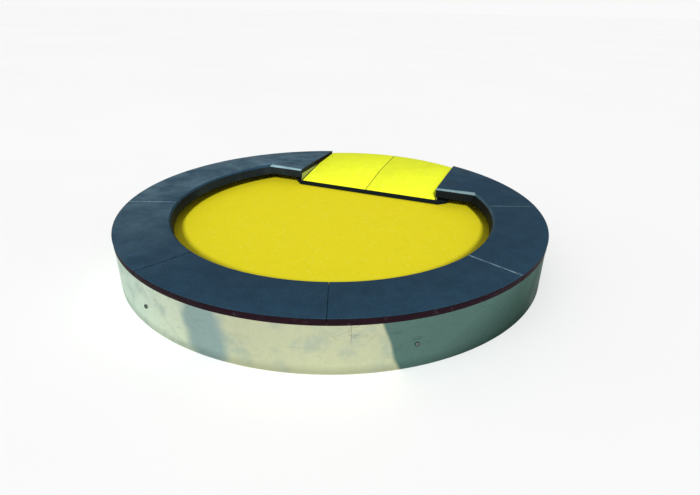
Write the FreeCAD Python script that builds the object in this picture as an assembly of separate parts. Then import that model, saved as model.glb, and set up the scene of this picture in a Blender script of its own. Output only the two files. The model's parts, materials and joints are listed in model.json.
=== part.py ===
import FreeCAD, Part
import math
import os

# Ground-level merry-go-round for a playground: a turning deck set low inside a fixed walk-on ring,
# with a ramp for a wheelchair. Millimetres. Z is up, Z = 0 is the ground, the turning axis is the
# Z axis and the ramp points along +Y.

# ---- overall sizes
overall_radius = 1250.0
ring_top = 280.0

# ---- walk-on ring: rubber cover over a film-faced board
sector_count = 8
first_seam = 112.5
seam_gap = 2.0
cover_thickness = 6.0
board_thickness = 30.0
board_setback = 1.5
inner_radius = 950.0
skirt_depth = 64.0
skirt_thickness = 16.0
skirt_lean = 12.0
bevel_run = 12.0
bevel_drop = 12.0
fit_gap = 1.0

# ---- casing: rolled galvanised sheet
casing_setback = 2.0
casing_sheet = 3.0
casing_joint = -63.0
casing_sheets = 3
strap_width = 40.0
casing_bolt_height = 115.0
casing_bolt_hole_radius = 6.5
casing_bolt_radius = 6.0
casing_bolt_tail = 16.0
casing_nut_low = 3.0
casing_nut_high = 13.0

# ---- ramp
ramp_half_width = 504.0
ramp_side_gap = 6.0
ramp_tile = 8.0
ramp_board = 25.0
ramp_rim_drop = 8.0
ramp_fold_y = 880.0
ramp_fold_drop = 33.0
ramp_nose_y = 582.0
ramp_nose_drop = 84.0
nose_wing = 80.0
nose_corner = 54.0
nose_length = 122.0
chord_y = 562.0
infill_slope = 1.2
infill_bevel_run = 22.0
side_plate = 6.0
portal_post = 40.0
portal_rail = 36.0
portal_clearance = 13.0
cross_rail = 30.0

# ---- turning deck
deck_top = 152.0
deck_radius = 1160.0
deck_surface = 6.0
deck_panel = 18.0
panel_setback = 3.0
spoke_count = 6
spoke_width = 50.0
spoke_height = 25.0
spoke_first = 30.0
tube_wall = 3.0

# ---- base frame
arm_count = 6
arm_first = 10.0
arm_width = 60.0
arm_height = 40.0
arm_start = 70.0
end_plate = 6.0
end_plate_height = 160.0
anchor_radius = 1175.0
anchor_hole = 9.0
base_plate_radius = 220.0
base_plate_thickness = 12.0

# ---- centre bearing
post_flange_radius = 130.0
post_flange = 12.0
post_shoulder_radius = 60.0
post_shoulder = 4.0
spigot_radius = 50.0
bearing_height = 24.0
ball_radius = 9.0
ball_pitch = 72.0
ball_count = 14
race_inner_radius = 64.0
race_outer_radius = 80.0
bearing_outer_radius = 96.0
lock_ring_height = 8.0
lock_ring_radius = 62.0
hub_radius = 122.0
hub_flange_radius = 200.0
hub_flange = 8.0
fit_clearance = 0.1
ball_clearance = 0.3

# ---- rim rollers
roller_radius = 30.0
roller_width = 36.0
roller_track_radius = 1110.0
track_thickness = 4.0
track_width = 44.0
axle_radius = 8.0
axle_clearance = 0.06
roller_clearance = 0.3
bracket_plate = 5.0
bracket_gap = 1.5
bracket_half_width = 20.0

# ---- ring brackets
bracket_step = 22.5
bracket_inner = 1000.0
bracket_web = 8.0
bracket_flange = 60.0
bracket_flange_thickness = 5.0
bracket_leg = 48.0
bracket_foot = 70.0
bracket_web_depth = 63.0
bracket_tip_depth = 18.0

# ---- worked out from the sizes above
board_top = ring_top - cover_thickness
board_bottom = board_top - board_thickness
skirt_bottom = ring_top - skirt_depth
casing_radius = overall_radius - casing_setback
casing_inside = casing_radius - casing_sheet
sector_angle = 360.0 / sector_count
flat_radius = inner_radius + bevel_run
wall_half_width = ramp_half_width + ramp_side_gap
panel_top = deck_top - deck_surface
panel_bottom = panel_top - deck_panel
spoke_bottom = panel_bottom - spoke_height
base_plate_top = arm_height + base_plate_thickness
bearing_bottom = base_plate_top + post_flange + post_shoulder
bearing_top = bearing_bottom + bearing_height
roller_axis = panel_bottom - track_thickness - roller_clearance - roller_radius
nose_half_width = ramp_half_width + nose_wing
nose_bottom = deck_top + 6.0
tall = 2.0 * ring_top
wide = 2.0 * overall_radius


def vector(x, y, z):
    return FreeCAD.Vector(x, y, z)


def face(points):
    """A flat face with straight sides through the points."""
    return Part.Face(Part.makePolygon(points + [points[0]]))


def turned(shape, degrees):
    """The shape turned about the Z axis."""
    copy = shape.copy()
    copy.rotate(vector(0, 0, 0), vector(0, 0, 1), degrees)
    return copy


def revolved(profile, start=0.0, sweep=360.0):
    """A solid from a radius-and-height outline swept about the Z axis."""
    outline = face([vector(radius, 0, height) for radius, height in profile])
    return turned(outline.revolve(vector(0, 0, 0), vector(0, 0, 1), sweep), start)


def ring(inner, outer, low, high, start=0.0, sweep=360.0):
    return revolved([(inner, low), (outer, low), (outer, high), (inner, high)], start, sweep)


def disc(radius, low, high):
    return Part.makeCylinder(radius, high - low, vector(0, 0, low))


def box(x_range, y_range, z_range):
    low = vector(x_range[0], y_range[0], z_range[0])
    return Part.makeBox(x_range[1] - x_range[0], y_range[1] - y_range[0], z_range[1] - z_range[0], low)


def plan_prism(points, low, high):
    """A solid from an outline seen from above."""
    return face([vector(x, y, low) for x, y in points]).extrude(vector(0, 0, high - low))


def side_prism(points, x_low, x_high):
    """A solid from a Y-and-Z outline, extruded along X."""
    return face([vector(x_low, y, z) for y, z in points]).extrude(vector(x_high - x_low, 0, 0))


def tube_along_x(start, end, width, height, low):
    """A square-cut rectangular tube along X, standing on the height low."""
    outer = box((start, end), (-width / 2, width / 2), (low, low + height))
    inner = box((start - 1, end + 1), (tube_wall - width / 2, width / 2 - tube_wall),
                (low + tube_wall, low + height - tube_wall))
    return outer.cut(inner)


def mirrored(shape):
    return shape.mirror(vector(0, 0, 0), vector(1, 0, 0))


def write(name, shape):
    shape.exportStep(f"parts/{name}.step")


def ramp_surface(y):
    """The height of the ramp's walking surface: a steeper run up from the nose, then an easier one."""
    if y < ramp_fold_y:
        rise = (ramp_nose_drop - ramp_fold_drop) / (ramp_fold_y - ramp_nose_y)
    else:
        rise = (ramp_fold_drop - ramp_rim_drop) / (overall_radius - ramp_fold_y)
    return ring_top - ramp_fold_drop + rise * (y - ramp_fold_y)


def ramp_layer(y_start, y_end, top_depth, bottom_depth):
    """The Y-and-Z outline of a layer that follows the ramp surface."""
    rows = [y_start, ramp_fold_y, y_end]
    top = [(y, ramp_surface(y) - top_depth) for y in rows]
    bottom = [(y, ramp_surface(y) - bottom_depth) for y in reversed(rows)]
    return top + bottom


def ramp_opening():
    """The space between the two cut ends of the ring."""
    return box((-wall_half_width, wall_half_width), (0, wide), (0, tall))


def sector_span(index, mean_radius):
    """Start and sweep of one ring sector, less the open seam."""
    gap = math.degrees(seam_gap / mean_radius)
    return first_seam + index * sector_angle + gap / 2, sector_angle - gap


def ring_sectors():
    """Rubber covers and the boards under them, cut short beside the ramp."""
    skirt_outside = inner_radius + skirt_thickness
    cover_outline = [
        (inner_radius - skirt_lean, skirt_bottom),
        (skirt_outside, skirt_bottom),
        (skirt_outside, board_top),
        (overall_radius, board_top),
        (overall_radius, ring_top),
        (flat_radius, ring_top),
        (inner_radius, ring_top - bevel_drop),
    ]
    infill_space = disc(flat_radius + fit_gap / 2, 0, tall).fuse(disc(skirt_outside + fit_gap, 0, board_top))
    infill_space = infill_space.common(box((-wide, wide), (chord_y - fit_gap, wide), (0, tall)))
    for index in range(sector_count - 1):
        start, sweep = sector_span(index, overall_radius)
        cover = revolved(cover_outline, start, sweep).cut(ramp_opening())
        board = ring(skirt_outside + fit_gap, overall_radius - board_setback,
                     board_bottom, board_top, start, sweep).cut(ramp_opening())
        if index in (0, sector_count - 2):
            cover = cover.cut(infill_space)
        write(f"ring_cover_{index + 1}", cover)
        write(f"ring_board_{index + 1}", board)


def infill_piece():
    """The corner piece that fills the ring out to a straight edge, on the ramp's +X side."""
    slab = disc(flat_radius, board_bottom, ring_top)
    slab = slab.common(box((wall_half_width, wide), (chord_y, wide), (0, tall)))
    skirt = disc(flat_radius, skirt_bottom, board_bottom)
    skirt = skirt.common(box((wall_half_width, wide), (chord_y, chord_y + skirt_thickness), (0, tall)))
    fall = flat_radius * math.tan(math.radians(infill_slope))
    above = revolved([(0, ring_top - fall), (flat_radius, ring_top), (flat_radius, tall), (0, tall)])
    reach = 1.1
    edge = [
        (chord_y + infill_bevel_run * reach, ring_top + bevel_drop * (reach - 1)),
        (chord_y - infill_bevel_run * (reach - 1), ring_top - bevel_drop * reach),
        (chord_y - infill_bevel_run * (reach - 1), tall),
        (chord_y + infill_bevel_run * reach, tall),
    ]
    return slab.fuse(skirt).cut(above).cut(side_prism(edge, 0, wide)).removeSplitter()


def casing():
    """Rolled sheets with a butt strap inside each joint, bolted to the base arms."""
    ramp_clearance = side_prism(
        [(ramp_fold_y, ramp_surface(ramp_fold_y) - ramp_tile - ramp_board),
         (wide, ramp_surface(wide) - ramp_tile - ramp_board), (wide, tall), (ramp_fold_y, tall)],
        -wall_half_width, wall_half_width)
    bolts = [turned(casing_bolt_solid(), arm_first + i * 360 / arm_count) for i in range(arm_count)]
    holes = Part.makeCompound([turned(casing_bolt_hole(), arm_first + i * 360 / arm_count)
                               for i in range(arm_count)])
    span = 360.0 / casing_sheets
    gap = math.degrees(seam_gap / 2 / casing_radius)
    straps = []
    for index in range(casing_sheets):
        start = casing_joint + index * span
        sheet = ring(casing_inside, casing_radius, 0, board_bottom, start + gap / 2, span - gap)
        write(f"casing_sheet_{index + 1}", sheet.cut(ramp_clearance).cut(holes))
        half = math.degrees(strap_width / 2 / casing_inside)
        straps.append(ring(casing_inside - casing_sheet, casing_inside, 0, end_plate_height,
                           start - half, 2 * half))
    write("casing_straps", Part.makeCompound(straps))
    write("casing_bolts", Part.makeCompound(bolts))


def casing_bolt_hole():
    length = casing_sheet + end_plate + 4 * fit_gap
    return Part.makeCylinder(casing_bolt_hole_radius, length,
                             vector(casing_radius + fit_gap - length, 0, casing_bolt_height), vector(1, 0, 0))


def casing_bolt_solid():
    """A button-headed bolt through the sheet and the arm's end plate."""
    head_radius, head_height = 11.0, 5.0
    clamped = casing_sheet + end_plate
    outline = [(0, 0), (head_radius, 0), (head_radius, 1.5), (head_radius * 0.7, head_height * 0.8),
               (head_radius * 0.3, head_height), (0, head_height)]
    head = revolved(outline)
    shank = disc(casing_bolt_radius, -clamped - casing_bolt_tail, 0)
    nut = disc(head_radius, -clamped - casing_nut_high, -clamped - casing_nut_low)
    bolt = head.fuse(shank).fuse(nut).removeSplitter()
    bolt.rotate(vector(0, 0, 0), vector(0, 1, 0), 90)
    bolt.translate(vector(casing_radius + 0.2, 0, casing_bolt_height))
    return bolt


def ring_brackets():
    """T-section brackets that stand on the casing and carry the ring boards."""
    outer = casing_inside - fit_gap
    web = [(bracket_inner, board_bottom), (outer, board_bottom), (outer, bracket_foot),
           (outer - bracket_leg, bracket_foot), (outer - bracket_leg, board_bottom - bracket_web_depth),
           (bracket_inner, board_bottom - bracket_tip_depth)]
    web_solid = face([vector(r, -bracket_web / 2, z) for r, z in web]).extrude(vector(0, bracket_web, 0))
    flange = box((bracket_inner, outer - 2 * fit_gap), (-bracket_flange / 2, bracket_flange / 2),
                 (board_bottom - bracket_flange_thickness, board_bottom))
    bracket = web_solid.fuse(flange).removeSplitter()
    first = first_seam + bracket_step
    count = round((360 - sector_angle) / bracket_step) - 1
    brackets = [turned(bracket, first + i * bracket_step) for i in range(count)]
    write("ring_brackets", Part.makeCompound(brackets))


def ramp():
    """Two rubber tiles on a board, the nose board and the steel that carries them over the deck."""
    tiles = ramp_layer(ramp_nose_y + fit_gap, overall_radius, 0, ramp_tile)
    right = side_prism(tiles, seam_gap / 2, ramp_half_width).common(disc(overall_radius, 0, tall))
    write("ramp_tile_right", right)
    write("ramp_tile_left", mirrored(right))
    board_start = ramp_nose_y + nose_length
    board = ramp_layer(board_start + fit_gap, overall_radius, ramp_tile, ramp_tile + ramp_board)
    rim = disc(overall_radius - board_setback, 0, tall)
    write("ramp_board", side_prism(board, -ramp_half_width, ramp_half_width).common(rim))

    nose_side = [(ramp_nose_y, nose_bottom), (ramp_nose_y, ramp_surface(ramp_nose_y) - ramp_tile),
                 (board_start, ramp_surface(board_start) - ramp_tile), (board_start, nose_bottom)]
    half = nose_half_width
    nose_plan = [(nose_corner - half, ramp_nose_y), (half - nose_corner, ramp_nose_y),
                 (half, ramp_nose_y + nose_corner), (half, board_start), (-half, board_start),
                 (-half, ramp_nose_y + nose_corner)]
    write("ramp_nose", side_prism(nose_side, -half, half).common(plan_prism(nose_plan, 0, tall)))
    ramp_steel(board_start)


def ramp_steel(board_start):
    """Side plates with a gusset under each infill piece, a rear portal and two cross rails."""
    x_in = wall_half_width + fit_gap
    x_out = x_in + side_plate
    y_front = chord_y + skirt_thickness + 4
    y_rear = math.sqrt(casing_inside ** 2 - x_out ** 2) - 2 * fit_gap
    low = nose_bottom + 4
    plate = side_prism(
        [(y_front, ramp_surface(y_front) - ramp_tile + fit_gap),
         (board_start + fit_gap, ramp_surface(board_start) - ramp_tile + fit_gap),
         (board_start + fit_gap, low), (y_rear, low), (y_rear, board_bottom), (y_front, board_bottom)],
        x_in, x_out)
    reach = inner_radius - 5
    corner = math.sqrt(reach ** 2 - (y_front + 10) ** 2)
    gusset = plan_prism([(x_in, y_front + 10), (corner - 12, y_front + 10), (x_in + 45, y_front + 148),
                         (x_in, y_front + 148)], board_bottom - 8, board_bottom)
    side = plate.fuse(gusset).removeSplitter()
    write("ramp_side_plate_right", side)
    write("ramp_side_plate_left", mirrored(side))

    post_x = x_in - 3 * fit_gap - portal_post
    post_y = math.sqrt((deck_radius + portal_clearance) ** 2 - post_x ** 2)
    rail_y = post_y - portal_post * 0.75
    rail_top = ramp_surface(rail_y) - ramp_tile - ramp_board - fit_gap
    portal = box((-x_in, x_in), (rail_y, rail_y + portal_post), (rail_top - portal_rail, rail_top))
    post = box((post_x, post_x + portal_post), (post_y, post_y + portal_post), (0, rail_top))
    write("ramp_portal", portal.fuse(post).fuse(mirrored(post)).removeSplitter())
    rails = []
    for y_low in (board_start + cross_rail / 2, ramp_fold_y - 1.5 * cross_rail):
        top = ramp_surface(y_low) - ramp_tile - ramp_board - fit_gap
        rails.append(box((-x_in, x_in), (y_low, y_low + cross_rail), (low, top)))
    write("ramp_rails", Part.makeCompound(rails))


def base_frame():
    """Radial arms on the ground, each with an anchor hole and an upright end plate for the casing."""
    end = casing_inside - fit_gap
    arm = tube_along_x(arm_start, end - end_plate, arm_width, arm_height, 0)
    arm = arm.fuse(box((end - end_plate, end), (-arm_width / 2, arm_width / 2), (0, end_plate_height)))
    arm = arm.cut(Part.makeCylinder(anchor_hole, tall, vector(anchor_radius, 0, -1)))
    arm = arm.cut(casing_bolt_hole()).removeSplitter()
    for index in range(arm_count):
        write(f"base_arm_{index + 1}", turned(arm, arm_first + index * 360 / arm_count))


def centre_bearing():
    """A post welded on the plate that joins the arms, its ball bearing and a ring nut over the race."""
    flange_top = base_plate_top + post_flange
    spigot_top = bearing_top + lock_ring_height + 2
    write("pivot_post", revolved([
        (0, arm_height), (base_plate_radius, arm_height), (base_plate_radius, base_plate_top),
        (post_flange_radius, base_plate_top), (post_flange_radius, flange_top),
        (post_shoulder_radius, flange_top), (post_shoulder_radius, bearing_bottom),
        (spigot_radius, bearing_bottom), (spigot_radius, spigot_top), (0, spigot_top)]))
    middle = (bearing_bottom + bearing_top) / 2
    groove = Part.makeTorus(ball_pitch, ball_radius + ball_clearance, vector(0, 0, middle))
    bore = spigot_radius + fit_clearance
    write("bearing_inner_race", ring(bore, race_inner_radius, bearing_bottom, bearing_top).cut(groove))
    write("bearing_outer_race",
          ring(race_outer_radius, bearing_outer_radius, bearing_bottom, bearing_top).cut(groove))
    ball = Part.makeSphere(ball_radius, vector(ball_pitch, 0, middle))
    write("bearing_balls", Part.makeCompound([turned(ball, i * 360 / ball_count) for i in range(ball_count)]))
    write("lock_ring", ring(bore, lock_ring_radius, bearing_top, bearing_top + lock_ring_height))


def turning_deck():
    """Hub, spokes, running track, two deck panels and the rubber surface."""
    shoulder = race_outer_radius - 8
    cap = bearing_top + lock_ring_height + 6
    bore = bearing_outer_radius + fit_clearance
    write("hub", revolved([
        (bore, bearing_bottom + 2), (hub_radius, bearing_bottom + 2), (hub_radius, spoke_bottom - hub_flange),
        (hub_flange_radius, spoke_bottom - hub_flange), (hub_flange_radius, spoke_bottom),
        (hub_radius, spoke_bottom), (hub_radius, panel_bottom), (0, panel_bottom), (0, cap),
        (shoulder, cap), (shoulder, bearing_top), (bore, bearing_top)]))
    spoke_end = roller_track_radius - track_width / 2 - 13
    spoke = tube_along_x(hub_radius + fit_gap, spoke_end, spoke_width, spoke_height, spoke_bottom)
    for index in range(spoke_count):
        write(f"deck_spoke_{index + 1}", turned(spoke, spoke_first + index * 360 / spoke_count))
    write("running_track", ring(roller_track_radius - track_width / 2, roller_track_radius + track_width / 2,
                                panel_bottom - track_thickness, panel_bottom))
    panel = disc(deck_radius - panel_setback, panel_bottom, panel_top)
    half = box((-wide, wide), (seam_gap / 2, wide), (0, tall))
    write("deck_panel_1", panel.common(half))
    write("deck_panel_2", panel.common(turned(half, 180)))
    write("deck_surface", disc(deck_radius, panel_top, deck_top))


def rim_rollers():
    """Rollers on the base arms that carry the rim of the deck."""
    centre, half = roller_track_radius, roller_width / 2
    along = vector(1, 0, 0)
    axis_end = half + bracket_gap + bracket_plate + 4
    wheel = Part.makeCylinder(roller_radius, roller_width, vector(centre - half, 0, roller_axis), along)
    wheel = wheel.cut(Part.makeCylinder(axle_radius + axle_clearance, 2 * roller_width,
                                        vector(centre - roller_width, 0, roller_axis), along))
    axle = Part.makeCylinder(axle_radius, 2 * axis_end, vector(centre - axis_end, 0, roller_axis), along)
    inner, outer = half + bracket_gap, half + bracket_gap + bracket_plate
    top = roller_axis + 14
    bracket = box((centre - outer, centre + outer), (-arm_width / 2, arm_width / 2),
                  (arm_height, arm_height + bracket_plate - 1))
    for low, high in ((-outer, -inner), (inner, outer)):
        bracket = bracket.fuse(box((centre + low, centre + high), (-bracket_half_width, bracket_half_width),
                                   (arm_height, top)))
    bracket = bracket.cut(Part.makeCylinder(axle_radius + fit_clearance, 4 * roller_width,
                                            vector(centre - 2 * roller_width, 0, roller_axis), along))
    brackets, axles = [], []
    for index in range(arm_count):
        azimuth = arm_first + index * 360 / arm_count
        write(f"rim_roller_{index + 1}", turned(wheel, azimuth))
        brackets.append(turned(bracket, azimuth))
        axles.append(turned(axle, azimuth))
    write("roller_brackets", Part.makeCompound(brackets))
    write("roller_axles", Part.makeCompound(axles))


os.makedirs("parts", exist_ok=True)
ring_sectors()
infill = infill_piece()
write("ring_infill_right", infill)
write("ring_infill_left", mirrored(infill))
casing()
ring_brackets()
ramp()
base_frame()
centre_bearing()
turning_deck()
rim_rollers()
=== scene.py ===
import json
import math

import bmesh
import bpy
from mathutils import Matrix, Vector, noise


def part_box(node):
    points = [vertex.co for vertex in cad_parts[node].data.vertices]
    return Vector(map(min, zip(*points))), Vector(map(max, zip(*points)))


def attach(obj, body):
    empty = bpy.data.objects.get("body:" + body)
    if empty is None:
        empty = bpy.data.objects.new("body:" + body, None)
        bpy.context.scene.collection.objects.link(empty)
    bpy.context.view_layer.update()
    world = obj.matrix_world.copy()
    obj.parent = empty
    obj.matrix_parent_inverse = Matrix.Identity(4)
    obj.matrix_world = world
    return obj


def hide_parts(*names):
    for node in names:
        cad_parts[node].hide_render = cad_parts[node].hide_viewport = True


bl_info = {
    "name": "Ground-level merry-go-round",
    "version": (1, 0, 0),
    "blender": (4, 5, 0),
    "location": "3D View > Sidebar > Merry-go-round",
    "description": "Rubber covers, rolled casing, turning deck and ramp of a playground merry-go-round",
    "category": "Add Mesh",
}

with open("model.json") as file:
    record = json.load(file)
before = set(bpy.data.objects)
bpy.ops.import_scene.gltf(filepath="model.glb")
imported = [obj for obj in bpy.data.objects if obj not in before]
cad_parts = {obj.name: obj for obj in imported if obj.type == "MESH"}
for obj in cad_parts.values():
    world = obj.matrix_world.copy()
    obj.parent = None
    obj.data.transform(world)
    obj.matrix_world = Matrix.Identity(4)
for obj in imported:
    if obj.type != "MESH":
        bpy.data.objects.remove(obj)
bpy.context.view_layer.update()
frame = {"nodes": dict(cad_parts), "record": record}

# ---- heights and radii read from the frame, in metres
COVER_LOW, COVER_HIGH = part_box("ring_cover_4")
BOARD_LOW, BOARD_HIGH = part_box("ring_board_4")
CASING_LOW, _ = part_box("casing_sheet_2")
DECK_LOW, DECK_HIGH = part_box("deck_surface")
INFILL_LOW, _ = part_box("ring_infill_right")
_, RAMP_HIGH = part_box("ramp_board")
RING_TOP, SKIRT_BOTTOM = COVER_HIGH.z, COVER_LOW.z
RIM_RADIUS = -COVER_LOW.y
BOARD_TOP, BOARD_BOTTOM = BOARD_HIGH.z, BOARD_LOW.z
CASING_RADIUS = -CASING_LOW.x
WALL_X, CHORD_Y = INFILL_LOW.x, INFILL_LOW.y

# azimuths, in degrees from +X
RAMP_AZIMUTH = 90.0
FIRST_SEAM, SECTOR, COVERS = 112.5, 45.0, 7
FIRST_SHEET_JOINT, SHEET_SPAN, SHEETS = -63.0, 120.0, 3

# the way along which the ring's top is painted paler towards the back-left, a painted sheen of the sky
# drawn in the pale dust colour, and how far along such a way the paling starts and is fullest
SHEEN_WAY = (-0.80, 0.45, 0.0)
PALE_START, PALE_FULL = -0.25, 0.95
# the inner bevel turns paler along another way, towards +X
INNER_BEVEL_PALE_WAY = (0.9, 0.3, 0.0)

# lines through the axis whose seams hold pale dust, and the one whose seams are pressed shut
DUSTY_SEAM_LINES, SHUT_SEAM_LINES = (22.5, 157.5), (67.5,)
# how far from a seam its line is full, and where it has faded out
SEAM_FULL, SEAM_GONE = 0.0025, 0.0060
# how far to each side of the joint between the ramp's tiles their edges are in its shade
RAMP_JOINT_REACH = 0.004

# painted reflections on the casing, blue-grey patches each by its azimuth and height, and how far they
# reach, fade and fray
CASING_REFLECTIONS = ((-93.0, 0.20), (-91.5, 0.08), (150.0, 0.12), (55.0, 0.14))
REFLECTION_REACH, REFLECTION_FADE, REFLECTION_FRAY = 0.065, 0.065, 0.03

# the upward share of a face's normal from which the face counts as level
LEVEL = 0.97


def linear(hex_colour):
    """An sRGB hex colour as linear red, green and blue."""
    values = [int(hex_colour[i:i + 2], 16) / 255 for i in (1, 3, 5)]
    return tuple(v / 12.92 if v <= 0.04045 else ((v + 0.055) / 1.055) ** 2.4 for v in values)


class RingSizes(bpy.types.PropertyGroup):
    """The walk-on ring."""

    inner_radius: bpy.props.FloatProperty(
        name="Inner radius", description="Radius where the skirt meets the bevel", default=0.950,
        unit="LENGTH")
    flat_radius: bpy.props.FloatProperty(
        name="Flat radius", description="Where the inner bevel starts", default=0.962, unit="LENGTH")
    skirt: bpy.props.FloatProperty(
        name="Skirt", description="Thickness of the skirt at its top", default=0.016, unit="LENGTH")
    lean: bpy.props.FloatProperty(
        name="Lean", description="How far the skirt's foot stands inside its top", default=0.012,
        unit="LENGTH")
    bevel_drop: bpy.props.FloatProperty(
        name="Bevel drop", description="How far the inner bevel falls", default=0.012, unit="LENGTH")
    edge: bpy.props.FloatProperty(
        name="Edge", description="Rounding of the rubber's edges", default=0.0018, unit="LENGTH")
    seam: bpy.props.FloatProperty(
        name="Seam", description="Open joint between two covers", default=0.002, unit="LENGTH")


class CasingSizes(bpy.types.PropertyGroup):
    """The rolled casing sheets."""

    sheet: bpy.props.FloatProperty(
        name="Sheet", description="Thickness of the sheet", default=0.003, unit="LENGTH")
    joint: bpy.props.FloatProperty(
        name="Joint", description="Open joint between two sheets", default=0.002, unit="LENGTH")
    dent: bpy.props.FloatProperty(
        name="Dent", description="Depth of the deepest dent", default=0.0016, unit="LENGTH")
    ramp_clearance: bpy.props.FloatProperty(
        name="Ramp clearance", description="Depth of the ramp's notch under the top of its board",
        default=0.035, unit="LENGTH")


def colour_property(name, description, hex_colour):
    return bpy.props.FloatVectorProperty(
        name=name, description=description, subtype="COLOR", default=linear(hex_colour))


class Colours(bpy.types.PropertyGroup):
    """The colours of the finishes."""

    ring: colour_property("Ring rubber", "Walk-on face of the ring", "#1F3A4D")
    # the skirt's colour is a darker copy of the ring rubber, painted shade
    skirt: colour_property("Skirt rubber", "Face that turns down to the deck", "#080E14")
    scuffed: colour_property("Scuffed rubber", "Rounded edges that feet rub pale", "#33505F")
    # pale dust, also laid on the ring's top as a painted sheen towards the back-left
    dust_and_sheen: colour_property("Dusty seam", "Dust in joints and on the lee side", "#9DC0CC")
    # the pale bevel is a painted highlight, the sky's reflection on the bevels beside the ramp
    bevel: colour_property("Corner bevel", "Bevel along the straight edges beside the ramp", "#6C8489")
    deck: colour_property("Deck rubber", "Turning deck", "#E1D41E")
    ramp: colour_property("Ramp rubber", "Ramp tiles", "#E5ED2C")
    ramp_joint: colour_property("Ramp joint", "Shaded joint between the ramp tiles", "#7F8418")
    film: colour_property("Film face", "Edge of the ring boards", "#1A0912")
    nose: colour_property("Nose board", "Dark board at the ramp's foot", "#0C151C")
    zinc: colour_property("Bright zinc", "Galvanised sheet where it is bright", "#DDECDD")
    # warm tone towards +X: a painted reflection
    warm_reflection: colour_property("Cream zinc", "Galvanised sheet with a warm oxide", "#C4C8A8")
    # blue-grey patches: painted reflections
    blue_reflection: colour_property("Blue zinc", "Galvanised sheet with a blue-grey oxide", "#94AAA6")
    bolt: colour_property("Bolt heads", "Weathered bolt heads", "#5A625E")
    # dark green-grey of the +X side: painted shade
    shaded_zinc: colour_property("Dull zinc", "Galvanised sheet under a dark oxide", "#5C7A72")


# ---- finishes


def add(tree, kind, links=None, **settings):
    """Adds a node. Settings are its own values; links give an input a value or another node's output."""
    made = tree.nodes.new(kind)
    for name, value in settings.items():
        setattr(made, name, value)
    for name, value in (links or {}).items():
        socket = made.inputs[name]
        if isinstance(value, bpy.types.NodeSocket):
            tree.links.new(value, socket)
        else:
            socket.default_value = value
    return made


def new_finish(name, **uniform):
    """A node material with its shader, its uniform values and the object's own coordinates."""
    material = bpy.data.materials.new(name)
    material.use_nodes = True
    tree = material.node_tree
    tree.nodes.clear()
    shader = add(tree, "ShaderNodeBsdfPrincipled")
    for socket, value in uniform.items():
        shader.inputs[socket.replace("_", " ")].default_value = value
    add(tree, "ShaderNodeOutputMaterial", {"Surface": shader.outputs["BSDF"]})
    place = add(tree, "ShaderNodeTexCoord").outputs["Object"]
    return material, tree, shader, place


def per_metre(millimetres):
    """Scale of a pattern whose feature has that size."""
    return 1000.0 / millimetres


def rgba(colour, factor=1.0):
    return tuple(min(1.0, c * factor) for c in colour[:3]) + (1.0,)


def blotches(tree, place, millimetres, low, high, detail=4.0, edges=(0.35, 0.65)):
    """Soft cloudy values between low and high, with patches of that size."""
    clouds = add(tree, "ShaderNodeTexNoise", {"Vector": place, "Scale": per_metre(millimetres),
                                              "Detail": detail, "Roughness": 0.6})
    return add(tree, "ShaderNodeMapRange", {"Value": clouds.outputs["Fac"], "From Min": edges[0],
                                            "From Max": edges[1], "To Min": low, "To Max": high})


def blended(tree, factor, first, second, how="MIX"):
    """Two colours laid over each other."""
    return add(tree, "ShaderNodeMix", {"Factor": factor, 6: first, 7: second}, data_type="RGBA",
               blend_type=how).outputs[2]


def seam_line(tree, place, azimuth):
    """A broken thin line along the seams that lie on one line through the axis."""
    turn = math.radians(azimuth)
    across = add(tree, "ShaderNodeVectorMath", {0: place, 1: (-math.sin(turn), math.cos(turn), 0.0)},
                 operation="DOT_PRODUCT")
    away = add(tree, "ShaderNodeMath", {0: across.outputs["Value"]}, operation="ABSOLUTE")
    line = add(tree, "ShaderNodeMapRange", {"Value": away.outputs["Value"], "From Min": SEAM_GONE,
                                            "From Max": SEAM_FULL})
    broken = blotches(tree, place, 40, 0.30, 0.90, detail=2.0)
    return add(tree, "ShaderNodeMath", {0: line.outputs["Result"], 1: broken.outputs["Result"]},
               operation="MULTIPLY").outputs["Value"]


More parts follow.
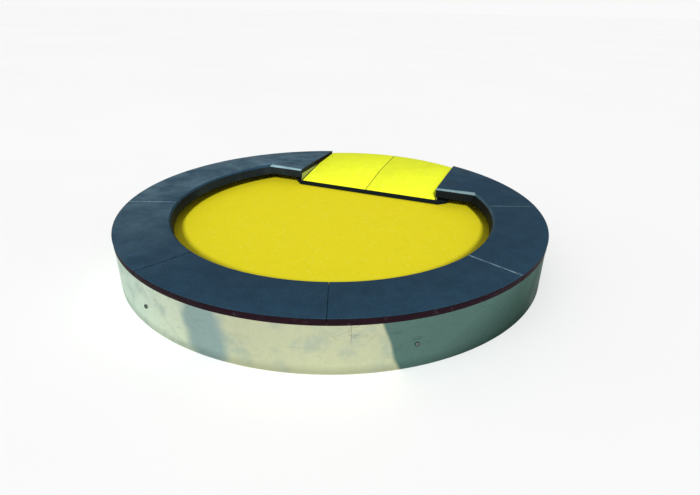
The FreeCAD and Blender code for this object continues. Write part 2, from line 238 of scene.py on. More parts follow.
# Moulded EPDM-faced rubber: matt and dark, with a grit that breaks up the light and pale dust that lies in
# cloudy patches, growing along one way; on the ring's top that growth is a painted sheen of the sky. Real
# grit is about 1 mm; its specks are drawn at 7 mm and its relief at 3 mm so that they show.
def moulded_rubber(name, colour, dust_and_sheen, dust_and_sheen_amount, pale_way=SHEEN_WAY, seam_lines=()):
    material, tree, shader, place = new_finish(name, IOR=1.52, Specular_IOR_Level=0.12)
    side = add(tree, "ShaderNodeVectorMath", {0: place, 1: pale_way}, operation="DOT_PRODUCT")
    # the pale colour's share grows along this way; on the ring's top that growth is a painted sheen, broken
    # into dust patches below
    paler = add(tree, "ShaderNodeMapRange", {"Value": side.outputs["Value"], "From Min": PALE_START,
                                           "From Max": PALE_FULL, "To Min": 0.02, "To Max": 1.0})
    patch = blotches(tree, place, 170, 0.2, 1.0, detail=6.0)
    amount = add(tree, "ShaderNodeMath", {0: paler.outputs["Result"], 1: patch.outputs["Result"]},
                 operation="MULTIPLY")
    share = add(tree, "ShaderNodeMath", {0: amount.outputs["Value"], 1: dust_and_sheen_amount}, operation="MULTIPLY")
    base = blended(tree, share.outputs["Value"], rgba(colour), rgba(dust_and_sheen))
    for azimuth, tone in seam_lines:
        base = blended(tree, seam_line(tree, place, azimuth), base, tone)
    speck = blotches(tree, place, 7.0, 0.80, 1.20, detail=2.0)
    tinted = blended(tree, 1.0, base, speck.outputs["Result"], "MULTIPLY")
    cloud = blotches(tree, place, 75, 0.90, 1.10, detail=3.0)
    tinted = blended(tree, 1.0, tinted, cloud.outputs["Result"], "MULTIPLY")
    tree.links.new(tinted, shader.inputs["Base Color"])
    grain = add(tree, "ShaderNodeTexVoronoi", {"Vector": place, "Scale": per_metre(3.0)},
                feature="SMOOTH_F1")
    relief = add(tree, "ShaderNodeBump", {"Height": grain.outputs["Distance"], "Strength": 0.35,
                                          "Distance": 0.0008})
    tree.links.new(relief.outputs["Normal"], shader.inputs["Normal"])
    tree.links.new(blotches(tree, place, 120, 0.66, 0.84).outputs["Result"], shader.inputs["Roughness"])
    return material


# Poured EPDM granules in resin: an even yellow whose single granules show as faint pale and dark
# flecks. Real granules are 1 to 3 mm; so that they show at all, the flecks are drawn at 9 mm on the
# deck and at 12 mm on the ramp.
def poured_rubber(name, colour, fleck_mm, mottle):
    material, tree, shader, place = new_finish(name, IOR=1.52, Specular_IOR_Level=0.10)
    cloud = blotches(tree, place, 90, 1.0 - mottle, 1.0 + mottle)
    base = blended(tree, 1.0, rgba(colour), cloud.outputs["Result"], "MULTIPLY")
    granule = add(tree, "ShaderNodeTexVoronoi", {"Vector": place, "Scale": per_metre(fleck_mm)})
    tone = add(tree, "ShaderNodeSeparateColor", {"Color": granule.outputs["Color"]})
    pale = add(tree, "ShaderNodeMapRange", {"Value": tone.outputs["Red"], "From Min": 0.955,
                                            "From Max": 0.985, "To Max": 0.35})
    dark = add(tree, "ShaderNodeMapRange", {"Value": tone.outputs["Green"], "From Min": 0.965,
                                            "From Max": 0.99, "To Max": 0.22})
    flecked = blended(tree, pale.outputs["Result"], base, rgba([c + 0.12 for c in colour]))
    speckled = blended(tree, dark.outputs["Result"], flecked, rgba(colour, 0.6))
    tree.links.new(speckled, shader.inputs["Base Color"])
    relief = add(tree, "ShaderNodeBump", {"Height": granule.outputs["Distance"], "Strength": 0.25,
                                          "Distance": 0.0007})
    tree.links.new(relief.outputs["Normal"], shader.inputs["Normal"])
    tree.links.new(blotches(tree, place, 60, 0.72, 0.88).outputs["Result"], shader.inputs["Roughness"])
    return material


def reflection_patch(tree, place, azimuth, height):
    """A ragged patch of painted reflection on the casing around one place, as a share from 0 to 1."""
    turn = math.radians(azimuth)
    middle = (CASING_RADIUS * math.cos(turn), CASING_RADIUS * math.sin(turn), height)
    away = add(tree, "ShaderNodeVectorMath", {0: place, 1: middle}, operation="DISTANCE")
    fray = blotches(tree, place, 160, -REFLECTION_FRAY, REFLECTION_FRAY, detail=1.5, edges=(0.25, 0.75))
    total = add(tree, "ShaderNodeMath", {0: away.outputs["Value"], 1: fray.outputs["Result"]},
                operation="ADD")
    return add(tree, "ShaderNodeMapRange", {"Value": total.outputs["Value"],
                                            "From Min": REFLECTION_REACH + REFLECTION_FADE,
                                            "From Max": REFLECTION_REACH}, interpolation_type="SMOOTHSTEP")


def crease_shade_lines(tree, place):
    """Long thin dark lines that come and go, the painted shade of creases in the sheet, as a factor on the
    colour.
    """
    level = add(tree, "ShaderNodeVectorMath", {0: place, 1: (1.0, 1.0, 3.2)}, operation="MULTIPLY")
    field = add(tree, "ShaderNodeTexNoise", {"Vector": level.outputs["Vector"],
                                             "Scale": per_metre(330), "Detail": 3.0})
    middle = add(tree, "ShaderNodeMath", {0: field.outputs["Fac"], 1: 0.5}, operation="SUBTRACT")
    away = add(tree, "ShaderNodeMath", {0: middle.outputs["Value"]}, operation="ABSOLUTE")
    faint = blotches(tree, place, 260, 0.80, 1.0, detail=2.0)
    return add(tree, "ShaderNodeMapRange", {"Value": away.outputs["Value"], "From Min": 0.001,
                                            "From Max": 0.009, "To Min": faint.outputs["Result"],
                                            "To Max": 1.0}).outputs["Result"]


# Hot-dip galvanised sheet, cold rolled to a hoop: a satin zinc with faint spangles and long rolling marks.
# Its broad blue-grey patches are painted reflections, and it turns warmer towards +X as a painted
# reflection. Beyond a ragged slanting edge there it is painted a dark green-grey as painted shade, thin
# dark lines are the painted shade of creases, and it turns darker towards its foot.
def galvanised_sheet(name, colours):
    material, tree, shader, place = new_finish(name, Metallic=1.0,
                                               Specular_Tint=(0.50, 0.58, 0.54, 1.0))
    warm_start, warm_full = -0.45 * RIM_RADIUS, 0.1 * RIM_RADIUS
    shaded_start, shaded_full, shaded_slant, shaded_fray = 0.735, 0.750, 0.30, 0.012
    deep_start, deep_full, deep_slant, deep_shade = 0.80, 1.18, -1.1, 0.25
    foot_low, foot_high, foot_shade = 0.014, 0.05, 0.76
    side = add(tree, "ShaderNodeSeparateXYZ", {"Vector": place})
    # warmer towards +X: a painted reflection
    warm = add(tree, "ShaderNodeMapRange", {"Value": side.outputs["X"], "From Min": warm_start,
                                            "From Max": warm_full})
    base = blended(tree, warm.outputs["Result"], rgba(colours.zinc), rgba(colours.warm_reflection))
    # broad blue-grey patches, and the placed patches below: painted reflections
    blue_reflection_share = blotches(tree, place, 120, 0.0, 0.40, detail=5.0, edges=(0.50, 0.66))
    base = blended(tree, blue_reflection_share.outputs["Result"], base, rgba(colours.blue_reflection))
    for azimuth, height in CASING_REFLECTIONS:
        patch = reflection_patch(tree, place, azimuth, height)
        base = blended(tree, patch.outputs["Result"], base, rgba(colours.blue_reflection))
    # beyond a ragged slanting edge towards +X the sheet is painted a dark green-grey as painted shade,
    # deepest low down there
    slant = add(tree, "ShaderNodeMath", {0: side.outputs["Z"], 1: shaded_slant, 2: side.outputs["X"]},
                operation="MULTIPLY_ADD")
    fray = blotches(tree, place, 190, -shaded_fray, shaded_fray, detail=1.0, edges=(0.25, 0.75))
    reach = add(tree, "ShaderNodeMath", {0: slant.outputs["Value"], 1: fray.outputs["Result"]},
                operation="ADD")
    shaded_side = add(tree, "ShaderNodeMapRange", {"Value": reach.outputs["Value"], "From Min": shaded_start,
                                            "From Max": shaded_full}, interpolation_type="SMOOTHSTEP")
    sunk = add(tree, "ShaderNodeMath", {0: side.outputs["Z"], 1: deep_slant, 2: side.outputs["X"]},
               operation="MULTIPLY_ADD")
    deep = add(tree, "ShaderNodeMapRange", {"Value": sunk.outputs["Value"], "From Min": deep_start,
                                            "From Max": deep_full, "To Min": 1.0,
                                            "To Max": deep_shade})
    # the tone of that painted shade
    oxide = blended(tree, 1.0, rgba(colours.shaded_zinc), deep.outputs["Result"], "MULTIPLY")
    base = blended(tree, shaded_side.outputs["Result"], base, oxide)
    # darker towards the foot of the sheet
    foot = add(tree, "ShaderNodeMapRange", {"Value": side.outputs["Z"], "From Min": foot_low,
                                            "From Max": foot_high, "To Min": foot_shade,
                                            "To Max": 1.0})
    base = blended(tree, 1.0, base, foot.outputs["Result"], "MULTIPLY")
    # thin dark lines: the painted shade of creases
    base = blended(tree, 1.0, base, crease_shade_lines(tree, place), "MULTIPLY")
    spangle = add(tree, "ShaderNodeTexVoronoi", {"Vector": place, "Scale": per_metre(16)})
    flake = add(tree, "ShaderNodeMapRange", {"Value": spangle.outputs["Color"], "To Min": 0.96,
                                             "To Max": 1.03})
    shade = blended(tree, 1.0, base, flake.outputs["Result"], "MULTIPLY")
    tree.links.new(shade, shader.inputs["Base Color"])
    along = add(tree, "ShaderNodeVectorMath", {0: place, 1: (1.0, 1.0, 14.0)}, operation="MULTIPLY")
    rolling = add(tree, "ShaderNodeTexNoise", {"Vector": along.outputs["Vector"],
                                               "Scale": per_metre(220), "Detail": 5.0})
    relief = add(tree, "ShaderNodeBump", {"Height": rolling.outputs["Fac"], "Strength": 0.25,
                                          "Distance": 0.002})
    tree.links.new(relief.outputs["Normal"], shader.inputs["Normal"])
    tree.links.new(blotches(tree, place, 200, 0.34, 0.50).outputs["Result"], shader.inputs["Roughness"])
    return material


# Steel, galvanised or ground: a grey metal whose sheen is broken by small handling marks.
def plain_steel(name, colour, roughness, mark_mm):
    material, tree, shader, place = new_finish(name, Metallic=1.0)
    tint = blotches(tree, place, mark_mm * 3, 0.88, 1.06)
    tree.links.new(blended(tree, 1.0, rgba(colour), tint.outputs["Result"], "MULTIPLY"),
                   shader.inputs["Base Color"])
    marks = blotches(tree, place, mark_mm, roughness - 0.08, roughness + 0.10)
    tree.links.new(marks.outputs["Result"], shader.inputs["Roughness"])
    return material


# Sawn plywood edge sealed with resin paint: the plies read as faint level lines, and scuffs let a
# paler wood through. Real plies are 1.5 mm thick, too fine to show, so the lines are drawn about
# 9.4 mm apart.
def sealed_plywood(name, colour, scuff):
    material, tree, shader, place = new_finish(name, IOR=1.5, Specular_IOR_Level=0.06, Roughness=0.6)
    line_mm, waves_at_scale_one = 9.42478, 20 / (2 * math.pi)
    plies = add(tree, "ShaderNodeTexWave", {"Vector": place, "Distortion": 1.5, "Detail": 2.0,
                                            "Scale": per_metre(line_mm) / waves_at_scale_one},
                bands_direction="Z")
    lines = add(tree, "ShaderNodeMapRange", {"Value": plies.outputs["Fac"], "To Min": 0.72,
                                             "To Max": 1.12})
    base = blended(tree, 1.0, rgba(colour), lines.outputs["Result"], "MULTIPLY")
    scrape = blotches(tree, place, 25, 0.0, scuff, edges=(0.6, 0.75))
    worn = blended(tree, scrape.outputs["Result"], base, rgba([c + 0.15 for c in colour]))
    tree.links.new(worn, shader.inputs["Base Color"])
    relief = add(tree, "ShaderNodeBump", {"Height": plies.outputs["Fac"], "Strength": 0.2,
                                          "Distance": 0.0005})
    tree.links.new(relief.outputs["Normal"], shader.inputs["Normal"])
    return material


# Turned cast nylon: an ivory plastic whose soft sheen changes a little from spot to spot.
def turned_nylon(name, colour):
    material, tree, shader, place = new_finish(name, IOR=1.53, Subsurface_Weight=0.1)
    tint = blotches(tree, place, 12, 0.94, 1.03)
    tree.links.new(blended(tree, 1.0, rgba(colour), tint.outputs["Result"], "MULTIPLY"),
                   shader.inputs["Base Color"])
    tree.links.new(blotches(tree, place, 4, 0.35, 0.5).outputs["Result"], shader.inputs["Roughness"])
    return material


def finish_recipes(colours):
    """What makes each finish, by its key."""
    seam_lines = [(azimuth, rgba(colours.dust_and_sheen, 0.55)) for azimuth in DUSTY_SEAM_LINES]
    seam_lines += [(azimuth, rgba(colours.skirt)) for azimuth in SHUT_SEAM_LINES]
    return {
        # the walk-on face turns paler towards the back-left: a painted sheen, not more dust
        "ring_rubber": (moulded_rubber, "moulded_rubber_slate", colours.ring, colours.dust_and_sheen, 0.20, SHEEN_WAY,
                        seam_lines),
        # faces that turn down and the covers' other sides: painted shade
        "shaded_skirt_rubber": (moulded_rubber, "moulded_rubber_skirt", colours.skirt, colours.dust_and_sheen, 0.03),
        "scuffed_rubber": (moulded_rubber, "moulded_rubber_scuffed", colours.scuffed, colours.dust_and_sheen, 0.3),
        # straight bevels beside the ramp: a painted highlight
        "bevel_highlight_rubber": (moulded_rubber, "moulded_rubber_bevel", colours.bevel, colours.dust_and_sheen, 0.7),
        "inner_bevel_rubber": (moulded_rubber, "moulded_rubber_inner_bevel", colours.ring, colours.dust_and_sheen,
                               0.16, INNER_BEVEL_PALE_WAY),
        "deck_rubber": (poured_rubber, "poured_rubber_yellow", colours.deck, 9.0, 0.010),
        "ramp_rubber": (poured_rubber, "poured_rubber_lemon", colours.ramp, 12.0, 0.035),
        "ramp_joint_rubber": (poured_rubber, "poured_rubber_joint", colours.ramp_joint, 12.0, 0.035),
        "film_faced_board": (sealed_plywood, "sealed_plywood_maroon", colours.film, 0.15),
        "nose_board": (sealed_plywood, "sealed_plywood_slate", colours.nose, 0.10),
        "deck_plywood": (sealed_plywood, "sealed_plywood_birch", linear("#B08A5A"), 0.2),
        "galvanised_sheet": (galvanised_sheet, "galvanised_sheet_rolled", colours),
        "galvanised_steel": (plain_steel, "galvanised_steel_section", linear("#AEB4AB"), 0.48, 20),
        "bolt_steel": (plain_steel, "weathered_bolt_steel", colours.bolt, 0.55, 6),
        "bearing_steel": (plain_steel, "ground_bearing_steel", linear("#C4C6C8"), 0.25, 6),
        "roller_nylon": (turned_nylon, "turned_cast_nylon", linear("#E5E0CF")),
    }


def finish_for(key):
    """The finish of that key, made the first time that it is needed."""
    recipe, name, *values = finish_recipes(bpy.context.scene.merry_colours)[key]
    return bpy.data.materials.get(name) or recipe(name, *values)


# ---- meshes


def new_object(name, mesh):
    made = bpy.data.objects.new(name, mesh)
    bpy.context.scene.collection.objects.link(made)
    return made


def mesh_object(name, vertices, faces):
    mesh = bpy.data.meshes.new(name)
    mesh.from_pydata([tuple(v) for v in vertices], [], faces)
    shape = bmesh.new()
    shape.from_mesh(mesh)
    bmesh.ops.remove_doubles(shape, verts=shape.verts, dist=1e-6)
    bmesh.ops.recalc_face_normals(shape, faces=shape.faces)
    shape.to_mesh(mesh)
    shape.free()
    return new_object(name, mesh)


def apply_modifiers(made):
    """Keeps the mesh that the modifiers give and drops the modifiers."""
    graph = bpy.context.evaluated_depsgraph_get()
    result = bpy.data.meshes.new_from_object(made.evaluated_get(graph))
    made.modifiers.clear()
    made.data = result


def carve(made, cutter, operation="DIFFERENCE"):
    """Cuts one mesh with another and removes the cutter."""
    modifier = made.modifiers.new("carve", "BOOLEAN")
    modifier.object = cutter
    modifier.operation = operation
    modifier.solver = "EXACT"
    apply_modifiers(made)
    bpy.data.objects.remove(cutter)


def smooth(made, degrees):
    """Shades the mesh smooth where its faces meet at less than that angle."""
    made.data.shade_smooth()
    made.data.set_sharp_from_angle(angle=math.radians(degrees))


def soften(made, width, segments=3):
    """Rounds the edges steeper than 20 degrees and smooths the shallow angles."""
    bevel = made.modifiers.new("rounded_edges", "BEVEL")
    bevel.width = width
    bevel.segments = segments
    bevel.limit_method = "ANGLE"
    bevel.angle_limit = math.radians(20)
    apply_modifiers(made)
    smooth(made, 30)


def settle(made, body, nodes, pick):
    """Gives the piece its body, hides the frame's nodes that it stands for, and gives each face the finish
    that pick names for it.
    """
    made.data.materials.clear()
    keys = []
    for face in made.data.polygons:
        key = pick(face.center, face.normal) if callable(pick) else pick
        if key not in keys:
            keys.append(key)
            made.data.materials.append(finish_for(key))
        face.material_index = keys.index(key)
    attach(made, body)
    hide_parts(*nodes)


def skinned(outlines):
    """Vertices and faces of a solid over closed outlines with as many points each, with flat ends."""
    count, faces = len(outlines[0]), []
    for step in range(len(outlines) - 1):
        low, high = step * count, (step + 1) * count
        for index in range(count):
            after = (index + 1) % count
            faces.append((low + index, low + after, high + after, high + index))
    last = (len(outlines) - 1) * count
    faces.append(tuple(range(count)))
    faces.append(tuple(last + index for index in reversed(range(count))))
    return [point for outline in outlines for point in outline], faces


def swept(profile, start, end, steps):
    """Vertices and faces of a radius-and-height outline swept from start to end."""
    outlines = []
    for step in range(steps + 1):
        azimuth = start + (end - start) * step / steps
        outlines.append([(r * math.cos(azimuth), r * math.sin(azimuth), z) for r, z in profile])
    return skinned(outlines)


def block(low, high):
    """A box to cut with."""
    low, high = Vector(low), Vector(high)
    shape = bmesh.new()
    bmesh.ops.create_cube(shape, size=1.0)
    spread = Matrix.Translation((low + high) / 2) @ Matrix.Diagonal((*(high - low), 1))
    bmesh.ops.transform(shape, matrix=spread, verts=shape.verts)
    return finish_cutter(shape)


def column(radius, low, high, steps=360):
    """A round column to cut with."""
    shape = bmesh.new()
    bmesh.ops.create_cone(shape, cap_ends=True, segments=steps, radius1=radius, radius2=radius,
                          depth=high - low)
    bmesh.ops.translate(shape, vec=(0, 0, (low + high) / 2), verts=shape.verts)
    return finish_cutter(shape)


def finish_cutter(shape):
    mesh = bpy.data.meshes.new("cutter")
    shape.to_mesh(mesh)
    shape.free()
    return new_object("cutter", mesh)


def rounded_node(name, node, width, segments=2):
    """The frame's shape for a node, with its flat faces joined and its edges rounded."""
    mesh = frame["nodes"][node].data.copy()
    shape = bmesh.new()
    shape.from_mesh(mesh)
    bmesh.ops.remove_doubles(shape, verts=shape.verts, dist=1e-5)
    bmesh.ops.dissolve_limit(shape, angle_limit=math.radians(0.4), verts=shape.verts, edges=shape.edges)
    shape.to_mesh(mesh)
    shape.free()
    made = new_object(name, mesh)
    soften(made, width, segments)
    return made


# ---- which finish a face of the ring takes


def ring_face(place, normal):
    """The finish of a cover's face: walked on, scuffed at its edges, or painted dark as the shade of the
    well.
    """
    sizes = bpy.context.scene.merry_ring
    reach = place.xy.length
    if normal.z > LEVEL:
        return "ring_rubber"
    if normal.z > 0.5 and reach < sizes.flat_radius + sizes.edge:
        return "scuffed_rubber" if reach > sizes.flat_radius - sizes.edge else "inner_bevel_rubber"
    if normal.z > 0.25 and place.z > RING_TOP - sizes.edge:
        return "ring_rubber"
    # every other face takes the skirt colour, painted shade
    return "shaded_skirt_rubber"


def infill_face(place, normal):
    """The corner pieces show a pale bevel along their straight edge, a painted highlight of the sky; their
    faces that turn down take the skirt's painted shade.
    """
    if normal.z > 0.6 and normal.y < -0.3:
        return "bevel_highlight_rubber"
    if normal.z > 0.6:
        return "ring_rubber"
    return "shaded_skirt_rubber"


def ramp_face(place, normal):
    """The tiles' rounded edges are shaded where they meet."""
    in_joint = abs(place.x) < RAMP_JOINT_REACH and normal.z < LEVEL
    return "ramp_joint_rubber" if in_joint else "ramp_rubber"


# ---- operators


class MERRY_OT_ring_covers(bpy.types.Operator):
    """Make the seven rubber covers of the ring"""

    bl_idname = "merry.ring_covers"
    bl_label = "Ring covers"

    def execute(self, context):
        sizes = context.scene.merry_ring
        inner, outside = sizes.inner_radius, sizes.inner_radius + sizes.skirt
        outline = [(inner - sizes.lean, SKIRT_BOTTOM), (outside, SKIRT_BOTTOM), (outside, BOARD_TOP),
                   (RIM_RADIUS, BOARD_TOP), (RIM_RADIUS, RING_TOP), (sizes.flat_radius, RING_TOP),
                   (inner, RING_TOP - sizes.bevel_drop)]
        gap = sizes.seam / RIM_RADIUS
        for index in range(COVERS):
            start = math.radians(FIRST_SEAM + index * SECTOR)
            end = start + math.radians(SECTOR)
            node = f"ring_cover_{index + 1}"
            made = mesh_object(f"rubber_{node}",
                               *swept(outline, start + gap / 2, end - gap / 2, steps=36))
            if index in (0, COVERS - 1):
                self.cut_beside_ramp(made, sizes)
            soften(made, sizes.edge)
            settle(made, "base", [node], ring_face)
        return {"FINISHED"}

    def cut_beside_ramp(self, made, sizes):
        """Opens the way for the ramp and the seat for the corner piece."""
        ease, past = 0.001, 2.0
        carve(made, block((-WALL_X, 0, -past), (WALL_X, past, past)))
        seats = ((sizes.flat_radius + ease / 2, past),
                 (sizes.inner_radius + sizes.skirt + ease, BOARD_TOP - ease / 10))
        for radius, high in seats:
            seat = column(radius, 0, high)
            carve(seat, block((-past, CHORD_Y - ease, -past), (past, past, past)), "INTERSECT")
            carve(made, seat)


class MERRY_OT_corner_pieces(bpy.types.Operator):
    """Make the two corner pieces beside the ramp"""

    bl_idname = "merry.corner_pieces"
    bl_label = "Corner pieces"

    def execute(self, context):
        for side in ("left", "right"):
            node = f"ring_infill_{side}"
            made = rounded_node(f"rubber_{node}", node, 0.0016)
            settle(made, "base", [node], infill_face)
        return {"FINISHED"}


class MERRY_OT_ring_boards(bpy.types.Operator):
    """Make the film-faced boards under the covers"""

    bl_idname = "merry.ring_boards"
    bl_label = "Ring boards"

    def execute(self, context):
        for index in range(COVERS):
            node = f"ring_board_{index + 1}"
            made = rounded_node(f"plywood_{node}", node, 0.0012)
            settle(made, "base", [node], "film_faced_board")
        return {"FINISHED"}


class MERRY_OT_casing(bpy.types.Operator):
    """Roll the casing sheets, with shallow dents"""

    bl_idname = "merry.casing"
    bl_label = "Casing"

    def execute(self, context):
        sizes = context.scene.merry_casing
        gap = math.degrees(sizes.joint / 2 / CASING_RADIUS)
        for index in range(SHEETS):
            start = FIRST_SHEET_JOINT + index * SHEET_SPAN + gap / 2
            node = f"casing_sheet_{index + 1}"
            made = self.sheet(f"rolled_{node}", start, start + SHEET_SPAN - gap, sizes)
            settle(made, "base", [node], "galvanised_sheet")
        return {"FINISHED"}

    def stations(self, start, end):
        """Azimuths of the sheet's columns, with a pair at each side of the ramp's notch."""
        half = math.degrees(math.asin(WALL_X / CASING_RADIUS))
        steps, beside = 240, 0.01
        azimuths = [start + (end - start) * step / steps for step in range(steps + 1)]
        for edge in (RAMP_AZIMUTH - half, RAMP_AZIMUTH + half):
            if start < edge < end:
                azimuths += [edge - beside, edge + beside]
        return sorted(azimuths)

    def top(self, azimuth, sizes):
        """The sheet's height: up to the ring's boards, or under the ramp's board."""
        turn = math.radians(azimuth)
        if abs(CASING_RADIUS * math.cos(turn)) < WALL_X and math.sin(turn) > 0:
            return min(BOARD_BOTTOM, RAMP_HIGH.z - sizes.ramp_clearance)
        return BOARD_BOTTOM

    def sheet(self, name, start, end, sizes):
        rows, outlines = 14, []
        for azimuth in self.stations(start, end):
            turn = math.radians(azimuth)
            aim = Vector((math.cos(turn), math.sin(turn), 0))
            top = self.top(azimuth, sizes)
            outline = []
            for row in range(rows):
                share = row / (rows - 1)
                spot = aim * CASING_RADIUS + Vector((0, 0, top * share))
                outline.append(spot - aim * self.dent(spot, share, sizes))
            inside = aim * (CASING_RADIUS - sizes.sheet)
            outlines.append([*outline, inside + Vector((0, 0, top)), inside])
        made = mesh_object(name, *skinned(outlines))
        smooth(made, 40)
        return made

    def dent(self, spot, share, sizes):
        """How far the sheet is pushed in, by share of its height, fading out under the ring."""
        broad_per_metre, small_per_metre, creases_per_metre, crease_width = 4.5, 14.0, 3.1, 0.12
        broad = 0.5 + 0.5 * noise.noise(spot * broad_per_metre)
        small = 0.5 + 0.5 * noise.noise(spot * small_per_metre + Vector((3.0, 1.0, 7.0)))
        ridge = abs(noise.noise(spot * creases_per_metre + Vector((9.0, 2.0, 5.0))))
        crease = max(0.0, crease_width - ridge) / crease_width
        depth = 0.55 * broad + 0.15 * small + 0.30 * crease
        under_ring, at_foot = min(1.0, 4 * (1 - share)), min(1.0, 0.3 + 4 * share)
        return sizes.dent * depth * under_ring * at_foot


class MERRY_OT_deck(bpy.types.Operator):
    """Pour the rubber surface of the turning deck"""

    bl_idname = "merry.deck"
    bl_label = "Deck surface"

    def execute(self, context):
        radius, low, high = DECK_HIGH.x, DECK_LOW.z, DECK_HIGH.z
        rings, spokes, lip, hollow, hollows_per_metre = 40, 240, 0.004, 0.0002, 5
        inside = radius - lip
        rows = [(inside * ring / rings, high, hollow) for ring in range(1, rings + 1)]
        rows += [(radius - lip * 0.3, high - lip * 0.3, 0.0), (radius, high - lip, 0.0), (radius, low, 0.0)]
        vertices = [(0, 0, high), (0, 0, low)]
        for reach, height, deepest in rows:
            for step in range(spokes):
                turn = 2 * math.pi * step / spokes
                x, y = reach * math.cos(turn), reach * math.sin(turn)
                field = noise.noise(Vector((x * hollows_per_metre, y * hollows_per_metre, 3.0)))
                vertices.append((x, y, height - deepest * (1 - field) / 2))
        faces = []
        last = 2 + (len(rows) - 1) * spokes
        for step in range(spokes):
            after = (step + 1) % spokes
            faces += [(0, 2 + step, 2 + after), (1, last + after, last + step)]
            for row in range(len(rows) - 1):
                near, far = 2 + row * spokes, 2 + (row + 1) * spokes
                faces.append((near + step, far + step, far + after, near + after))
        made = mesh_object("rubber_deck_surface", vertices, faces)
        smooth(made, 60)
        settle(made, "turning_deck", ["deck_surface"], "deck_rubber")
        return {"FINISHED"}


class MERRY_OT_ramp(bpy.types.Operator):
    """Make the ramp's tiles, boards and side plates"""

    bl_idname = "merry.ramp"
    bl_label = "Ramp"

    def execute(self, context):
        pieces = (("rubber_ramp_tile_left", "ramp_tile_left", "ramp_rubber", 0.0020),
                  ("rubber_ramp_tile_right", "ramp_tile_right", "ramp_rubber", 0.0020),
                  ("plywood_ramp_board", "ramp_board", "nose_board", 0.0012),
                  ("plywood_ramp_nose", "ramp_nose", "nose_board", 0.0030),
                  ("steel_ramp_side_plate_left", "ramp_side_plate_left", "galvanised_steel", 0.0008),
                  ("steel_ramp_side_plate_right", "ramp_side_plate_right", "galvanised_steel", 0.0008))
        for name, node, key, width in pieces:
            made = rounded_node(name, node, width)
            settle(made, "base", [node], ramp_face if key == "ramp_rubber" else key)
        return {"FINISHED"}


class MERRY_OT_mechanism(bpy.types.Operator):
    """Give the base frame, bearing, rollers and deck panels their finishes"""

    bl_idname = "merry.mechanism"
    bl_label = "Mechanism"

    def execute(self, context):
        slots = {row["node"]: row["material_slot"] for row in frame["record"]["subparts"]}
        for name, node in frame["nodes"].items():
            if not node.hide_render:
                node.data.materials.clear()
                key = "bolt_steel" if name == "casing_bolts" else slots[name]
                node.data.materials.append(finish_for(key))
        return {"FINISHED"}


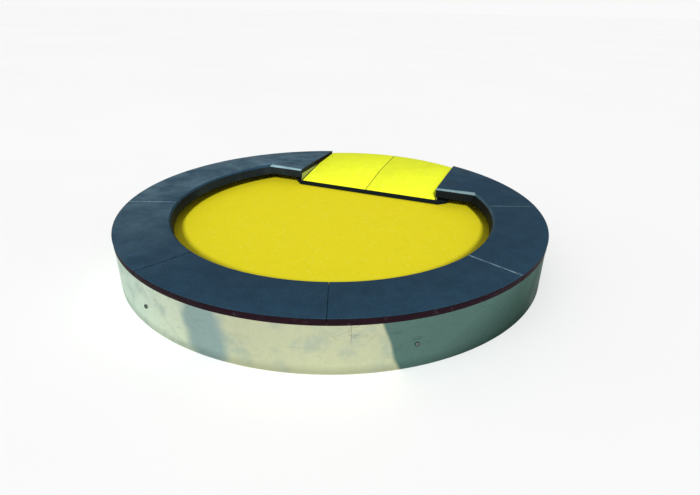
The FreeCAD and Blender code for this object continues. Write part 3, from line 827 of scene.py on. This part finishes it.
class MERRY_OT_stage(bpy.types.Operator):
    """Make the floor, the lights and the camera"""

    bl_idname = "merry.stage"
    bl_label = "Stage"

    def execute(self, context):
        scene = context.scene
        scene.view_settings.view_transform = "Standard"
        self.floor()
        self.sky(scene)
        self.sun()
        self.camera(scene)
        return {"FINISHED"}

    def floor(self):
        half = 150.0
        corners = [(-half, -half, 0), (half, -half, 0), (half, half, 0), (-half, half, 0)]
        made = mesh_object("floor", corners, [(0, 1, 2, 3)])
        material, tree, shader, place = new_finish("painted_studio_floor", Roughness=0.95,
                                                   Specular_IOR_Level=0.1)
        shade = blotches(tree, place, 4000, 0.92, 0.94)
        tree.links.new(shade.outputs["Result"], shader.inputs["Base Color"])
        made.data.materials.append(material)

    def sky(self, scene):
        """A white surround, dimmer as a light than as a backdrop."""
        world = bpy.data.worlds.new("studio")
        world.use_nodes = True
        tree = world.node_tree
        tree.nodes.clear()
        as_light, as_backdrop = 0.40, 0.955
        ray = add(tree, "ShaderNodeLightPath").outputs["Is Camera Ray"]
        level = add(tree, "ShaderNodeMapRange", {"Value": ray, "To Min": as_light, "To Max": as_backdrop})
        glow = add(tree, "ShaderNodeBackground", {"Color": (1.0, 1.0, 1.0, 1.0),
                                                  "Strength": level.outputs["Result"]})
        add(tree, "ShaderNodeOutputWorld", {"Surface": glow.outputs["Background"]})
        scene.world = world

    def sun(self):
        """One soft light, low enough to reach the deck under the ring's far side."""
        azimuth, height = math.radians(-68.0), math.radians(31.0)
        light = bpy.data.lights.new("key_light", "SUN")
        light.energy = 3.82
        light.angle = math.radians(7.0)
        made = new_object("key_light", light)
        towards = Vector((math.cos(azimuth) * math.cos(height), math.sin(azimuth) * math.cos(height),
                          math.sin(height)))
        made.rotation_euler = towards.to_track_quat("Z", "Y").to_euler()

    def camera(self, scene):
        """Eye level, from the front right of the ramp's axis."""
        azimuth, height = math.radians(23.65), math.radians(20.81)
        reach, roll = 3.0811, math.radians(1.1)
        aim = Vector((0.3231, -0.5277, RING_TOP))
        place = Vector((reach * math.cos(height) * math.sin(azimuth),
                        -reach * math.cos(height) * math.cos(azimuth),
                        RING_TOP + reach * math.sin(height)))
        lens = bpy.data.cameras.new("camera")
        lens.sensor_width = 36.0
        lens.lens = 25.69
        made = new_object("camera", lens)
        turn = (aim - place).to_track_quat("-Z", "Y").to_matrix().to_4x4()
        made.matrix_world = Matrix.Translation(place) @ turn @ Matrix.Rotation(roll, 4, "Z")
        scene.camera = made


STEPS = (MERRY_OT_ring_covers, MERRY_OT_corner_pieces, MERRY_OT_ring_boards, MERRY_OT_casing,
         MERRY_OT_deck, MERRY_OT_ramp, MERRY_OT_mechanism, MERRY_OT_stage)


class MERRY_PT_panel(bpy.types.Panel):
    """The merry-go-round's sizes, colours and steps"""

    bl_idname = "MERRY_PT_panel"
    bl_label = "Merry-go-round"
    bl_space_type = "VIEW_3D"
    bl_region_type = "UI"
    bl_category = "Merry-go-round"

    def draw(self, context):
        scene = context.scene
        for group in (scene.merry_ring, scene.merry_casing, scene.merry_colours):
            for name in group.__annotations__:
                self.layout.prop(group, name)
        for step in STEPS:
            self.layout.operator(step.bl_idname)


CLASSES = (RingSizes, CasingSizes, Colours, *STEPS, MERRY_PT_panel)


def register():
    for item in CLASSES:
        bpy.utils.register_class(item)
    bpy.types.Scene.merry_ring = bpy.props.PointerProperty(type=RingSizes)
    bpy.types.Scene.merry_casing = bpy.props.PointerProperty(type=CasingSizes)
    bpy.types.Scene.merry_colours = bpy.props.PointerProperty(type=Colours)


def unregister():
    del bpy.types.Scene.merry_colours
    del bpy.types.Scene.merry_casing
    del bpy.types.Scene.merry_ring
    for item in reversed(CLASSES):
        bpy.utils.unregister_class(item)


def main():
    register()
    for step in STEPS:
        group, name = step.bl_idname.split(".")
        getattr(getattr(bpy.ops, group), name)()


if __name__ == "__main__":
    main()
